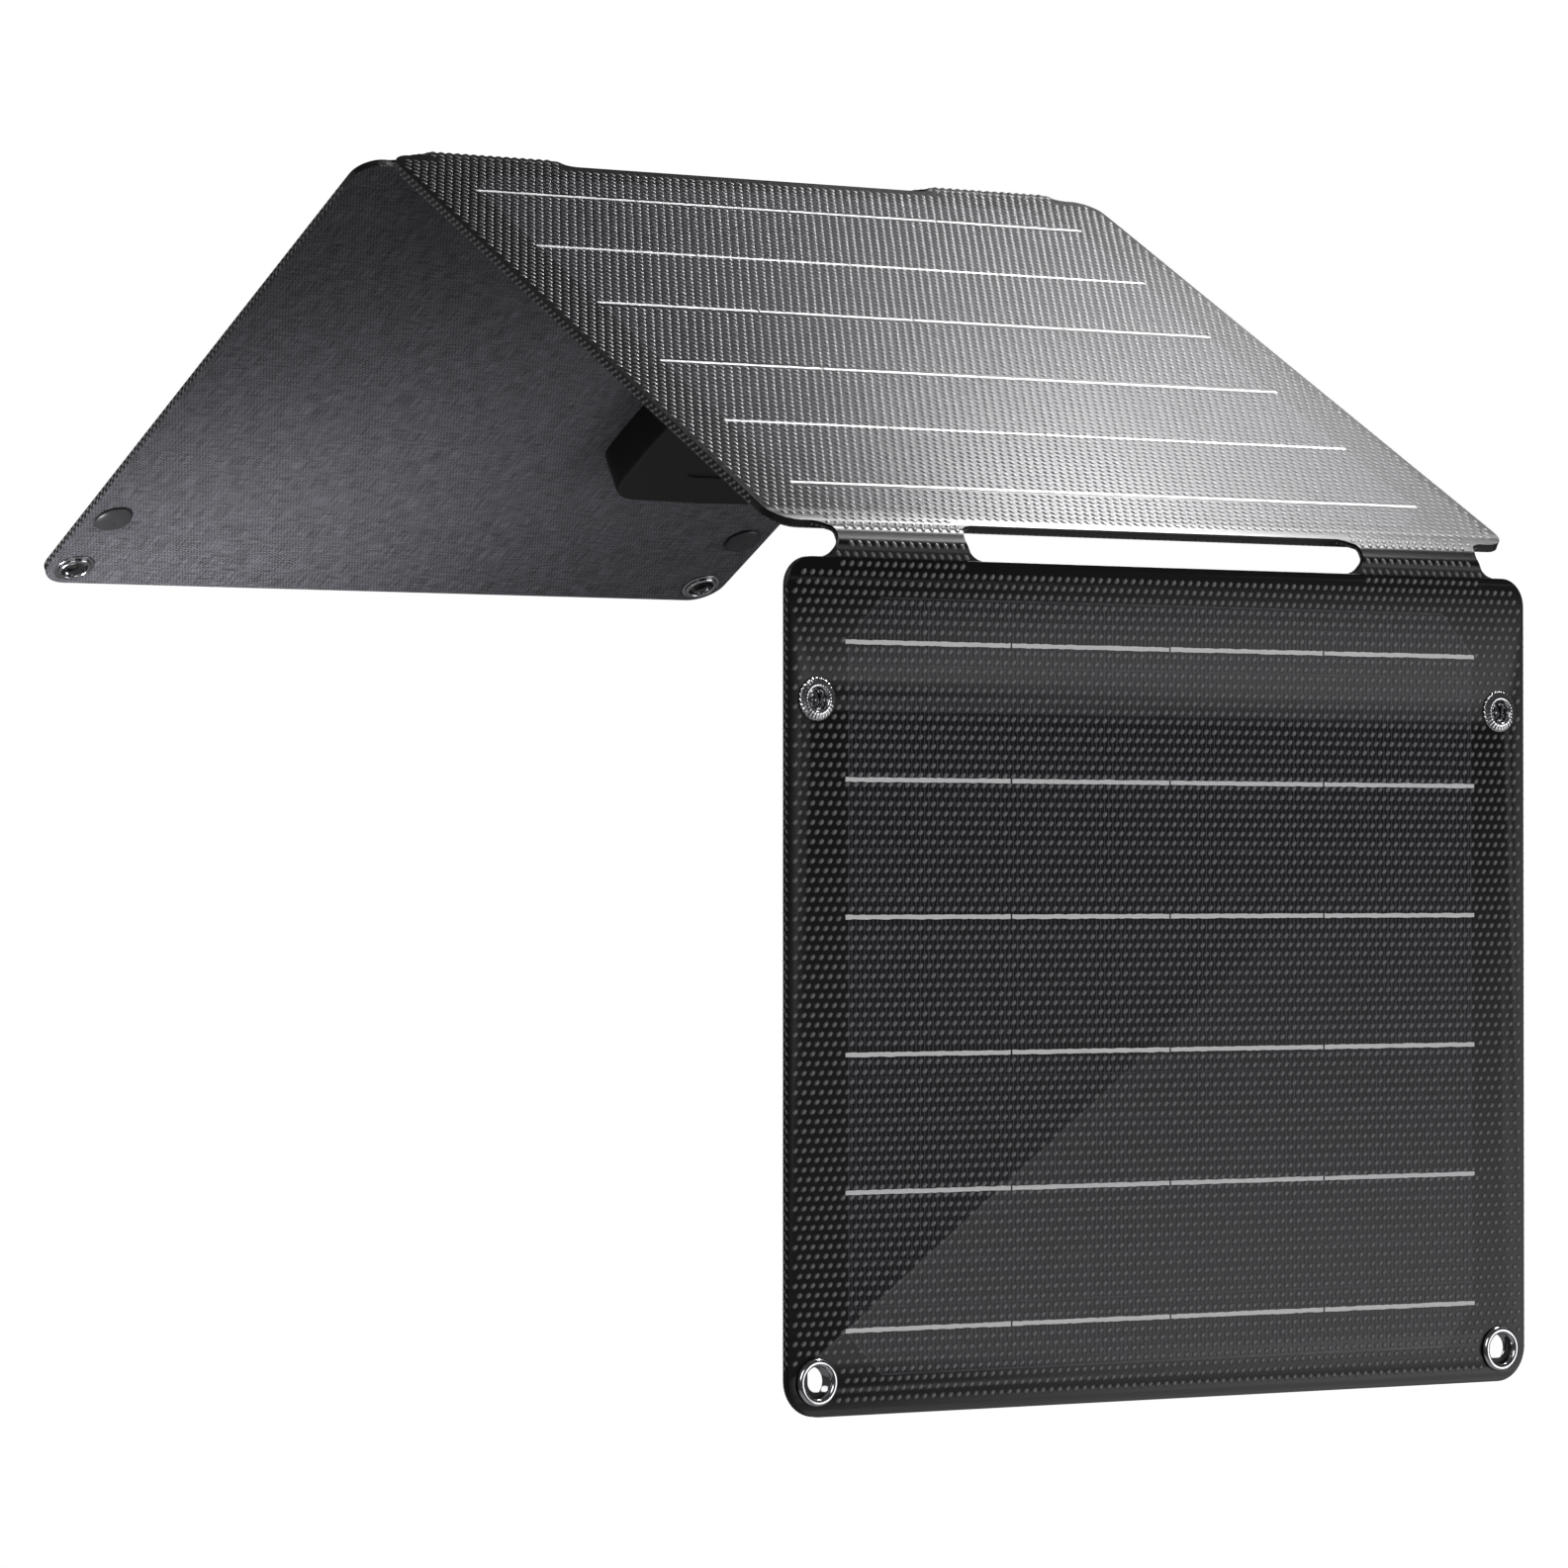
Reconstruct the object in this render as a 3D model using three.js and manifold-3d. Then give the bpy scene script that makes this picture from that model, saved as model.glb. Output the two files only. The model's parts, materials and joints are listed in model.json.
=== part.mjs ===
// Folding solar charger: three stiff laminated panels joined by two soft folds.
// Each fold has a tab at either end and a long carry slot between the tabs.
// Millimetres, +Z up. The origin is the middle of the ridge slot, at the ridge fold's mid-thickness.
// X runs along the folds, panel B rises towards +Y, panel C hangs down from it and panel A leans
// away on the far side of the ridge.
import * as THREE from 'three';
import { mergeVertices } from 'three/addons/utils/BufferGeometryUtils.js';
import Module from 'manifold-3d';

const wasm = await Module();
wasm.setup();

// ---- panels ----------------------------------------------------------------------------
const PANEL_WIDTH = 193;
const PANEL_LENGTH = 172.4;
const OUTER_CORNER = 7.5;
const FOLD_CORNER = 6;
const CORNER_STEPS = 5;

// Layers from the front face down: film, bus ribbons, cells, core board, back cloth.
const FILM = 0.3;
const RIBBON = 0.12;
const CELL = 0.2;
const CORE = 0.76;
const CLOTH = 0.36;
const LAYER_GAP = 0.04;
const RIBBON_TOP = -(FILM + LAYER_GAP);
const CELL_TOP = RIBBON_TOP - RIBBON - LAYER_GAP;
const CORE_TOP = CELL_TOP - CELL - LAYER_GAP;
const CLOTH_TOP = CORE_TOP - CORE - LAYER_GAP;
const BACK = CLOTH_TOP - CLOTH;

// ---- cells: one 156.75 mm wafer height, cut into four strips ---------------------------
const STRIPS = 4;
const STRIP_PITCH = 41;
const STRIP_GAP = 0.45;
const WAFER = 156.75;
const WAFER_CHAMFER = 8.3;
const RIBBON_ROWS = 6;
const RIBBON_PITCH = 27.67;
const RIBBON_WIDTH = 1.1;
const RIBBON_OVERHANG = 0.7;
const COLLECTOR_WIDTH = 2;

// ---- folds -----------------------------------------------------------------------------
// Every fold creases along two lines, one at each side of a narrow spine.
const CREASE_DEPTH = 0.6; // crease line below the front face
const TAB_THICKNESS = 1.2;
const TAB_FILM = 0.3;
const TAB_CLOTH = 0.4;
const JUMPER = 0.2;
const JUMPER_WIDTH = 12;
const TAB_CENTRE = 68;
const TAB_HALF_WIDTH = 15.8;
const TAB_END_GAP = 0.1;
const FOLD_BEND = 30; // degrees at each crease, so 60 across a fold
const LOWER = { edge: 3.15, spine: 2.6 };
const RIDGE = { edge: 2.28, spine: 6.1 };

// ---- fasteners near the corners --------------------------------------------------------
const FASTENER_X = 89.5;
const GROMMET_INSET = 7; // from the outer edge
const GROMMET_HOLE = 3.7;
const SNAP_INSET = 28.65; // from the edge that meets its partner when the panels are stacked
const SNAP_HOLE = 2.6;
const HOLE_STEPS = 18;
const LATHE_STEPS = 20;
const POST_STEPS = 16;

// ---- controller box on the back of panel A ---------------------------------------------
const BOX = { x: 54.6, y: 90.6, halfX: 27, halfY: 22.2, corner: 8, bow: 0.5, top: 10.4, bottom: 0.05 };
const BOX_WALL = 1.6;
const BOX_EDGE = 0.8;
const BOX_FIT = 0.25;
const BASE_TOP = 1.6;
const PCB = { bottom: 3.9, top: 5.1 };
const SCREW = { x: 21, y: 17.3, shank: 1.0, head: 2.0, seat: 1.3, top: 8.0, play: 0.15, spare: 0.3 };
const BOSS = 2.4;
const LABEL = { half: 11, corner: 3, depth: 0.4 };
const CHOKE = { x: -10, y: -8, half: 4, corner: 1.5 };
const CAPACITOR = { x: -9, y: 8, radius: 3.1 };
const BOARD_PART_HEIGHT = 3.4;
const USB_A = {
  y: 7, width: 13.2, height: 5.7, length: 14, wall: 0.35, bottom: 2.3,
  tongue: { width: 11, height: 1.8, length: 9 },
};
const USB_C = {
  y: -8, width: 8.94, height: 3.26, length: 7.4, wall: 0.3, bottom: 5.14,
  tongue: { width: 6.7, height: 0.7, length: 5 },
};
const PORT_SETBACK = 0.3;
const PORT_CLEARANCE = 0.25;
const PORT_REAR_WALL = 1.2;
const LIGHT = { y: -1.7, z: 6.6, radius: 1.1, proud: 0.5, behind: 1.9, clearance: 0.15 };
const EMBED = 0.2; // how far a joined post or part starts inside what it stands on
const PAST = 1; // how far a cutter runs past the face that it opens
const MATE_GAP = 0.05; // between two pieces that touch

// ---- finishes --------------------------------------------------------------------------
const finish = (color, roughness, metalness = 0) => ({ color, roughness, metalness });
const FINISH = {
  film: finish(0x141416, 0.35),
  core: finish(0x1d1d1f, 0.7),
  cloth: finish(0x3c3b40, 0.9),
  cell: finish(0x0b0c12, 0.3),
  ribbon: finish(0xe8e8ea, 0.35, 0.6),
  jumper: finish(0xb9a58c, 0.4, 0.9),
  chrome: finish(0xd8d9dc, 0.15, 1),
  cap: finish(0x2a2a2e, 0.3, 0.6),
  box: finish(0x1b1b1b, 0.5),
  pcb: finish(0x14532d, 0.6),
  steel: finish(0xb4b6ba, 0.3, 1),
  light: finish(0xdfe8ee, 0.3),
};

const rad = THREE.MathUtils.degToRad;
const product = new THREE.Group();

function addMesh(parent, name, geometry, look) {
  const mesh = new THREE.Mesh(geometry, new THREE.MeshStandardMaterial({ ...look }));
  mesh.name = name;
  parent.add(mesh);
}

// ---- outlines and plates ---------------------------------------------------------------
function arc(cx, cy, radius, from, to, steps) {
  return Array.from({ length: steps + 1 }, (_, i) => {
    const angle = rad(from + ((to - from) * i) / steps);
    return new THREE.Vector2(cx + radius * Math.cos(angle), cy + radius * Math.sin(angle));
  });
}

function roundedOutline(x0, x1, y0, y1, lowRadius, highRadius, steps = CORNER_STEPS) {
  return new THREE.Shape([
    ...arc(x1 - lowRadius, y0 + lowRadius, lowRadius, -90, 0, steps),
    ...arc(x1 - highRadius, y1 - highRadius, highRadius, 0, 90, steps),
    ...arc(x0 + highRadius, y1 - highRadius, highRadius, 90, 180, steps),
    ...arc(x0 + lowRadius, y0 + lowRadius, lowRadius, 180, 270, steps),
  ]);
}

function roundHole(x, y, radius) {
  return new THREE.Path(arc(x, y, radius, 360, 360 / HOLE_STEPS, HOLE_STEPS - 1));
}

function plate(shape, bottom, top) {
  const geometry = new THREE.ExtrudeGeometry(shape, { depth: top - bottom, bevelEnabled: false });
  return geometry.translate(0, 0, bottom);
}

function block(x0, x1, y0, y1, z0, z1) {
  const geometry = new THREE.BoxGeometry(x1 - x0, y1 - y0, z1 - z0);
  return geometry.translate((x0 + x1) / 2, (y0 + y1) / 2, (z0 + z1) / 2);
}

function turned(profile, x = 0, y = 0) {
  const points = profile.map(([radius, height]) => new THREE.Vector2(radius, height));
  return new THREE.LatheGeometry(points, LATHE_STEPS).rotateX(Math.PI / 2).translate(x, y, 0);
}

function post(x, y, radius, z0, z1) {
  const geometry = new THREE.CylinderGeometry(radius, radius, z1 - z0, POST_STEPS);
  return geometry.rotateX(Math.PI / 2).translate(x, y, (z0 + z1) / 2);
}

// ---- booleans --------------------------------------------------------------------------
function solid(geometry) {
  const bare = geometry.clone();
  bare.deleteAttribute('normal');
  bare.deleteAttribute('uv');
  const merged = mergeVertices(bare, 1e-4);
  return new wasm.Manifold(new wasm.Mesh({
    numProp: 3,
    vertProperties: Float32Array.from(merged.attributes.position.array),
    triVerts: Uint32Array.from(merged.index.array),
  }));
}

function fromSolid(body) {
  const mesh = body.getMesh();
  const geometry = new THREE.BufferGeometry();
  geometry.setAttribute('position', new THREE.BufferAttribute(mesh.vertProperties, 3));
  geometry.setIndex(new THREE.BufferAttribute(mesh.triVerts, 1));
  geometry.computeVertexNormals();
  return geometry;
}

const cut = (body, ...tools) => tools.reduce((left, tool) => left.subtract(solid(tool)), body);
const join = (body, ...extras) => extras.reduce((sum, extra) => sum.add(solid(extra)), body);

// ---- one panel -------------------------------------------------------------------------
// A panel lies in its group's XY plane, front face at Z 0, from Y 0 to PANEL_LENGTH.
function panelOutline(lowRadius, highRadius, holes) {
  const half = PANEL_WIDTH / 2;
  const shape = roundedOutline(-half, half, 0, PANEL_LENGTH, lowRadius, highRadius);
  for (const { x, y, radius } of holes) shape.holes.push(roundHole(x, y, radius));
  return shape;
}

function stripSpan(index) {
  const centre = (index - (STRIPS - 1) / 2) * STRIP_PITCH;
  const half = (STRIP_PITCH - STRIP_GAP) / 2;
  return [centre - half, centre + half];
}

function cellStrip(index) {
  const [x0, x1] = stripSpan(index);
  const y0 = (PANEL_LENGTH - WAFER) / 2;
  const y1 = y0 + WAFER;
  const left = index === 0 ? WAFER_CHAMFER : 0;
  const right = index === STRIPS - 1 ? WAFER_CHAMFER : 0;
  const corners = [
    [x0 + left, y0], [x1 - right, y0], [x1, y0 + right], [x1, y1 - right],
    [x1 - right, y1], [x0 + left, y1], [x0, y1 - left], [x0, y0 + left],
  ];
  const distinct = corners.filter(([x, y], i) => {
    const [px, py] = corners[(i + corners.length - 1) % corners.length];
    return x !== px || y !== py;
  });
  const shape = new THREE.Shape(distinct.map(([x, y]) => new THREE.Vector2(x, y)));
  return plate(shape, CELL_TOP - CELL, CELL_TOP);
}

// Six rows run across the strips and dip into each gap between strips. A collector at each end,
// just past the cells, joins the rows.
function busRibbons() {
  const end = stripSpan(STRIPS - 1)[1] + RIBBON_OVERHANG;
  const half = RIBBON_WIDTH / 2;
  const rowY = (row) => PANEL_LENGTH / 2 + (row - (RIBBON_ROWS - 1) / 2) * RIBBON_PITCH;
  const rectangle = (Kind, x, y0, y1) => new Kind(
    [[-x, y0], [x, y0], [x, y1], [-x, y1]].map((corner) => new THREE.Vector2(...corner)),
  );
  const first = rowY(0) - half;
  const last = rowY(RIBBON_ROWS - 1) + half;
  const ladder = rectangle(THREE.Shape, end + COLLECTOR_WIDTH, first, last);
  for (let row = 1; row < RIBBON_ROWS; row += 1) {
    ladder.holes.push(rectangle(THREE.Path, end, rowY(row - 1) + half, rowY(row) - half));
  }
  const low = RIBBON_TOP - RIBBON;
  const dips = Array.from({ length: STRIPS - 1 }, (_, index) => {
    const x = stripSpan(index)[1];
    return block(x, x + STRIP_GAP, 0, PANEL_LENGTH, low + RIBBON / 2, 0);
  });
  return fromSolid(cut(solid(plate(ladder, low, RIBBON_TOP)), ...dips));
}

function addPanel(group, name, lowRadius, highRadius, holes = []) {
  const outline = panelOutline(lowRadius, highRadius, holes);
  addMesh(group, `${name}_front_film`, plate(outline, -FILM, 0), FINISH.film);
  addMesh(group, `${name}_bus_ribbons`, busRibbons(), FINISH.ribbon);
  for (let index = 0; index < STRIPS; index += 1) {
    addMesh(group, `${name}_cell_strip_${index + 1}`, cellStrip(index), FINISH.cell);
  }
  addMesh(group, `${name}_core_board`, plate(outline, CORE_TOP - CORE, CORE_TOP), FINISH.core);
  addMesh(group, `${name}_back_cloth`, plate(outline, BACK, CLOTH_TOP), FINISH.cloth);
}

// ---- folds: tabs bent over two creases -------------------------------------------------
// A fold's group has Y across the fold from the lower panel to the upper one, Z out of the front,
// and its origin in the middle of the spine at crease depth.
function bentPoint(across, height, spine) {
  const half = spine / 2;
  const side = Math.abs(across) < half - 1e-6 ? 0 : Math.sign(across);
  if (side === 0) return [across, height];
  const beyond = Math.abs(across) - half;
  const bend = rad(FOLD_BEND);
  if (beyond < 1e-6) return [side * (half + height * Math.tan(bend / 2)), height];
  return [
    side * (half + beyond * Math.cos(bend) + height * Math.sin(bend)),
    height * Math.cos(bend) - beyond * Math.sin(bend),
  ];
}

// Stations follow the round ends of the slot, so that the tab flares where it meets each panel.
const tabReach = (fold) => fold.edge + fold.spine / 2 - TAB_END_GAP;

function tabStations(fold) {
  const crease = Math.asin(fold.spine / 2 / tabReach(fold));
  const outer = [0.35, 0.7].map((share) => crease + (Math.PI / 2 - crease) * share);
  const upper = [crease, ...outer, Math.PI / 2];
  return [...upper.map((angle) => -angle).reverse(), 0, ...upper];
}

function foldStrip(fold, centre, halfWidth, flare, bottom, top, columns) {
  const stations = tabStations(fold);
  const reach = tabReach(fold);
  const geometry = new THREE.BoxGeometry(1, 1, 1, columns, stations.length - 1, 1);
  const position = geometry.attributes.position;
  for (let i = 0; i < position.count; i += 1) {
    const step = Math.round((position.getY(i) + 0.5) * (stations.length - 1));
    const angle = stations[step];
    const across = reach * Math.sin(angle);
    const half = halfWidth + (flare ? reach * (1 - Math.cos(angle)) : 0);
    const height = position.getZ(i) > 0 ? top : bottom;
    const [y, z] = bentPoint(across, height, fold.spine);
    position.setXYZ(i, centre + position.getX(i) * 2 * half, y, z);
  }
  return geometry;
}

function addFold(group, name, fold) {
  const front = CREASE_DEPTH;
  const back = CREASE_DEPTH - TAB_THICKNESS;
  for (const [side, sign] of [['left', -1], ['right', 1]]) {
    const centre = sign * TAB_CENTRE;
    const film = foldStrip(fold, centre, TAB_HALF_WIDTH, true, front - TAB_FILM, front, 4);
    const cloth = foldStrip(fold, centre, TAB_HALF_WIDTH, true, back, back + TAB_CLOTH, 4);
    addMesh(group, `${name}_${side}_film_tab`, film, FINISH.film);
    addMesh(group, `${name}_${side}_cloth_tab`, cloth, FINISH.cloth);
    const jumper = foldStrip(fold, centre, JUMPER_WIDTH / 2, false, -JUMPER / 2, JUMPER / 2, 1);
    addMesh(group, `${name}_${side}_jumper`, jumper, FINISH.jumper);
  }
}

// ---- grommets and snaps ----------------------------------------------------------------
const GROMMET_EYELET = [
  [3.1, BACK - 0.7], [3.5, BACK - 0.95], [4.1, BACK - 0.9], [4.4, BACK - 0.7], [4.3, BACK - 0.48],
  [3.45, BACK - 0.48], [3.45, 0.04], [5.0, 0.04], [5.0, 0.35], [4.7, 0.72], [4.1, 0.85],
  [3.5, 0.7], [3.1, 0.25], [3.1, BACK - 0.7],
];
const GROMMET_WASHER = [
  [3.7, BACK - 0.44], [4.9, BACK - 0.44], [5.0, BACK - 0.3], [4.9, BACK - 0.04], [3.7, BACK - 0.04],
  [3.7, BACK - 0.44],
];
const SNAP_CAP = [
  [0, BACK - 1.5], [2.5, BACK - 1.42], [4.0, BACK - 1.05], [4.7, BACK - 0.5], [4.6, BACK - 0.06],
  [2.35, BACK - 0.06], [2.35, -0.25], [1.95, -0.25], [1.95, BACK - 0.6], [0, BACK - 0.6],
];
const SNAP_SOCKET = [
  [2.0, 0.04], [4.3, 0.04], [4.3, 0.4], [3.9, 0.75], [3.0, 0.9], [2.2, 0.8], [2.0, 0.5], [2.0, 0.04],
];
const SNAP_EYELET = [
  [1.95, BACK + 0.15], [2.35, BACK + 0.15], [2.35, 0.04], [4.45, 0.04], [4.45, 0.35], [4.1, 0.7],
  [3.4, 0.82], [2.7, 0.7], [2.3, 0.3], [1.95, -0.3], [1.95, BACK + 0.15],
];
const SNAP_STUD = [
  [0, BACK - 3.0], [1.0, BACK - 2.9], [1.6, BACK - 2.45], [1.7, BACK - 2.05], [1.45, BACK - 1.5],
  [1.45, BACK - 0.55], [4.2, BACK - 0.5], [4.2, BACK - 0.05], [0.9, BACK - 0.05], [0.9, BACK - 2.0],
  [0, BACK - 2.2],
];

function addPair(group, name, kinds, y) {
  for (const [side, sign] of [['left', -1], ['right', 1]]) {
    for (const [kind, profile, look] of kinds) {
      addMesh(group, `${name}_${side}_${kind}`, turned(profile, sign * FASTENER_X, y), look);
    }
  }
}

function fastenerHoles(grommetY, snapY) {
  return [-1, 1].flatMap((sign) => [
    { x: sign * FASTENER_X, y: grommetY, radius: GROMMET_HOLE },
    { x: sign * FASTENER_X, y: snapY, radius: SNAP_HOLE },
  ]);
}

const GROMMET_PIECES = [
  ['grommet', GROMMET_EYELET, FINISH.chrome],
  ['grommet_washer', GROMMET_WASHER, FINISH.chrome],
];

// ---- controller box --------------------------------------------------------------------
// The box's group has Z away from the cloth and its origin on the cloth, under the box's middle.
function boxOutline(inset) {
  const halfX = BOX.halfX - inset;
  const halfY = BOX.halfY - inset;
  const radius = BOX.corner - inset;
  const points = [];
  for (let corner = 0; corner < 4; corner += 1) {
    const sx = corner === 0 || corner === 3 ? 1 : -1;
    const sy = corner < 2 ? 1 : -1;
    const x = sx * (halfX - radius);
    const y = sy * (halfY - radius);
    points.push(...arc(x, y, radius, corner * 90, corner * 90 + 90, CORNER_STEPS));
    const endSide = corner % 2 === 0;
    if (endSide) points.push(new THREE.Vector2(0, sy * (halfY + BOX.bow)));
    else points.push(new THREE.Vector2(sx * (halfX + BOX.bow), 0));
  }
  return new THREE.Shape(points);
}

const SCREW_PLACES = [[SCREW.x, SCREW.y], [-SCREW.x, -SCREW.y]];
const atScrews = (make) => SCREW_PLACES.map(([x, y]) => make(x, y));

function portTunnel(port) {
  const half = port.width / 2 + PORT_CLEARANCE;
  const inside = BOX.halfX - BOX_WALL - PAST;
  const outside = BOX.halfX + BOX.bow + PAST;
  const bottom = port.bottom - PORT_CLEARANCE;
  const top = port.bottom + port.height + PORT_CLEARANCE;
  return block(inside, outside, port.y - half, port.y + half, bottom, top);
}

// A round bar along X at the light pipe's place.
function sidePost(radius, x0, x1) {
  const bar = new THREE.CylinderGeometry(radius, radius, x1 - x0, POST_STEPS);
  return bar.rotateZ(Math.PI / 2).translate((x0 + x1) / 2, LIGHT.y, LIGHT.z);
}

function coverBody() {
  const skirt = new THREE.ExtrudeGeometry(boxOutline(BOX_EDGE), {
    depth: BOX.top,
    bevelThickness: BOX_EDGE,
    bevelSize: BOX_EDGE,
    bevelSegments: 2,
  }).translate(0, 0, -BOX_EDGE);
  const far = 2 * BOX.halfX;
  const underside = block(-far, far, -far, far, -far, BOX.bottom);
  const ceiling = BOX.top - BOX_WALL;
  const cavity = plate(boxOutline(BOX_WALL), BOX.bottom - PAST, ceiling);
  const recess = plate(
    roundedOutline(-LABEL.half, LABEL.half, -LABEL.half, LABEL.half, LABEL.corner, LABEL.corner),
    BOX.top - LABEL.depth,
    BOX.top + PAST,
  );
  const lightHole = sidePost(LIGHT.radius + LIGHT.clearance, BOX.halfX - 3, BOX.halfX + 3);
  const shell = cut(
    solid(skirt), underside, cavity, recess, portTunnel(USB_A), portTunnel(USB_C), lightHole,
  );
  const bosses = atScrews((x, y) => post(x, y, BOSS, PCB.top + MATE_GAP, ceiling + EMBED));
  const boreTop = SCREW.top + SCREW.spare;
  const bores = atScrews((x, y) => post(x, y, SCREW.shank + SCREW.play, PCB.top - PAST, boreTop));
  return fromSolid(cut(join(shell, ...bosses), ...bores));
}

function baseBody() {
  const tray = plate(boxOutline(BOX_WALL + BOX_FIT), BOX.bottom, BASE_TOP);
  const posts = atScrews((x, y) => post(x, y, BOSS, BASE_TOP - EMBED, PCB.bottom - MATE_GAP));
  const bores = atScrews((x, y) => post(x, y, SCREW.shank + SCREW.play, -PAST, PCB.top));
  const seats = atScrews((x, y) => post(x, y, SCREW.head + SCREW.play, -PAST, BOX.bottom + SCREW.seat));
  return fromSolid(cut(join(solid(tray), ...posts), ...bores, ...seats));
}

// The board carries its inductor and its filter capacitor, soldered on.
function circuitBoard() {
  const board = solid(plate(boxOutline(BOX_WALL + 2 * BOX_FIT), PCB.bottom, PCB.top));
  const { x, y, half, corner } = CHOKE;
  const bottom = PCB.top - EMBED;
  const top = PCB.top + BOARD_PART_HEIGHT;
  const choke = plate(roundedOutline(x - half, x + half, y - half, y + half, corner, corner), bottom, top);
  const capacitor = post(CAPACITOR.x, CAPACITOR.y, CAPACITOR.radius, bottom, top);
  const notchRear = BOX.halfX - PORT_SETBACK - USB_A.length - BOX_FIT;
  const notchHalf = USB_A.width / 2 + BOX_FIT;
  const notchLow = USB_A.y - notchHalf;
  const notchHigh = USB_A.y + notchHalf;
  const notch = block(notchRear, BOX.halfX + PAST, notchLow, notchHigh, 0, BOX.top);
  const bores = atScrews((sx, sy) => post(sx, sy, SCREW.shank + 2 * SCREW.play, 0, BOX.top));
  return fromSolid(cut(join(board, choke, capacitor), notch, ...bores));
}

function portShell(port) {
  const mouth = BOX.halfX - PORT_SETBACK;
  const rear = mouth - port.length;
  const half = port.width / 2;
  const middle = port.bottom + port.height / 2;
  const shell = block(rear, mouth, port.y - half, port.y + half, port.bottom, port.bottom + port.height);
  const inner = half - port.wall;
  const floor = port.bottom + port.wall;
  const roof = port.bottom + port.height - port.wall;
  const rearWall = rear + PORT_REAR_WALL;
  const hollow = block(rearWall, mouth + PAST, port.y - inner, port.y + inner, floor, roof);
  const { width, height, length } = port.tongue;
  const root = rearWall - EMBED;
  const tongue = block(
    root, root + length, port.y - width / 2, port.y + width / 2, middle - height / 2, middle + height / 2,
  );
  return fromSolid(join(cut(solid(shell), hollow), tongue));
}

function screw(x, y) {
  const headTop = BOX.bottom + MATE_GAP;
  const seatTop = BOX.bottom + SCREW.seat - MATE_GAP;
  return turned([
    [0, headTop], [SCREW.head, headTop], [SCREW.head, seatTop],
    [SCREW.shank, seatTop], [SCREW.shank, SCREW.top - SCREW.shank], [0, SCREW.top],
  ], x, y);
}

function addController(panelGroup) {
  const group = new THREE.Group();
  group.position.set(BOX.x, BOX.y, BACK);
  group.rotation.x = Math.PI;
  panelGroup.add(group);
  addMesh(group, 'controller_base', baseBody(), FINISH.box);
  addMesh(group, 'controller_cover', coverBody(), FINISH.box);
  addMesh(group, 'controller_board', circuitBoard(), FINISH.pcb);
  atScrews(screw).forEach((geometry, i) => {
    addMesh(group, `controller_screw_${i + 1}`, geometry, FINISH.steel);
  });
  addMesh(group, 'usb_a_socket', portShell(USB_A), FINISH.steel);
  addMesh(group, 'usb_c_socket', portShell(USB_C), FINISH.steel);
  const pipe = sidePost(LIGHT.radius, BOX.halfX - BOX_WALL - LIGHT.behind, BOX.halfX + LIGHT.proud);
  addMesh(group, 'charge_light_pipe', pipe, FINISH.light);
}

// ---- placing the three panels and two folds --------------------------------------------
// Turns a (y, z) pair by an angle in degrees about X.
function turn([y, z], degrees) {
  const angle = rad(degrees);
  return [y * Math.cos(angle) - z * Math.sin(angle), y * Math.sin(angle) + z * Math.cos(angle)];
}

const plus = ([a, b], [c, d]) => [a + c, b + d];
const minus = ([a, b], [c, d]) => [a - c, b - d];

function place(angle, [y, z]) {
  const group = new THREE.Group();
  group.rotation.x = rad(angle);
  group.position.set(0, y, z);
  product.add(group);
  return group;
}

const ANGLE_B = FOLD_BEND;
const ANGLE_A = -FOLD_BEND;
const ANGLE_LOWER = ANGLE_B + FOLD_BEND;
const ANGLE_C = ANGLE_LOWER + FOLD_BEND;

const ridgeCreaseB = [-RIDGE.spine / 2, 0];
const ridgeCreaseA = [RIDGE.spine / 2, 0];
const placeB = minus(ridgeCreaseB, turn([PANEL_LENGTH + RIDGE.edge, -CREASE_DEPTH], ANGLE_B));
const placeA = minus(ridgeCreaseA, turn([-RIDGE.edge, -CREASE_DEPTH], ANGLE_A));
const lowerCreaseB = plus(placeB, turn([-LOWER.edge, -CREASE_DEPTH], ANGLE_B));
const lowerCreaseC = minus(lowerCreaseB, turn([LOWER.spine, 0], ANGLE_LOWER));
const lowerMiddle = minus(lowerCreaseB, turn([LOWER.spine / 2, 0], ANGLE_LOWER));
const placeC = minus(lowerCreaseC, turn([PANEL_LENGTH + LOWER.edge, -CREASE_DEPTH], ANGLE_C));

const panelA = place(ANGLE_A, placeA);
const holesA = fastenerHoles(PANEL_LENGTH - GROMMET_INSET, PANEL_LENGTH - SNAP_INSET);
addPanel(panelA, 'panel_a', FOLD_CORNER, OUTER_CORNER, holesA);
addPair(panelA, 'panel_a', GROMMET_PIECES, PANEL_LENGTH - GROMMET_INSET);
addPair(panelA, 'panel_a', [
  ['snap_cap', SNAP_CAP, FINISH.cap],
  ['snap_socket', SNAP_SOCKET, FINISH.chrome],
], PANEL_LENGTH - SNAP_INSET);
addController(panelA);

const panelB = place(ANGLE_B, placeB);
addPanel(panelB, 'panel_b', FOLD_CORNER, FOLD_CORNER);

const panelC = place(ANGLE_C, placeC);
const holesC = fastenerHoles(GROMMET_INSET, PANEL_LENGTH - SNAP_INSET);
addPanel(panelC, 'panel_c', OUTER_CORNER, FOLD_CORNER, holesC);
addPair(panelC, 'panel_c', GROMMET_PIECES, GROMMET_INSET);
addPair(panelC, 'panel_c', [
  ['snap_eyelet', SNAP_EYELET, FINISH.chrome],
  ['snap_stud', SNAP_STUD, FINISH.chrome],
], PANEL_LENGTH - SNAP_INSET);

addFold(place(0, [0, 0]), 'ridge_fold', RIDGE);
addFold(place(ANGLE_LOWER, lowerMiddle), 'lower_fold', LOWER);

export default product;
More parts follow.
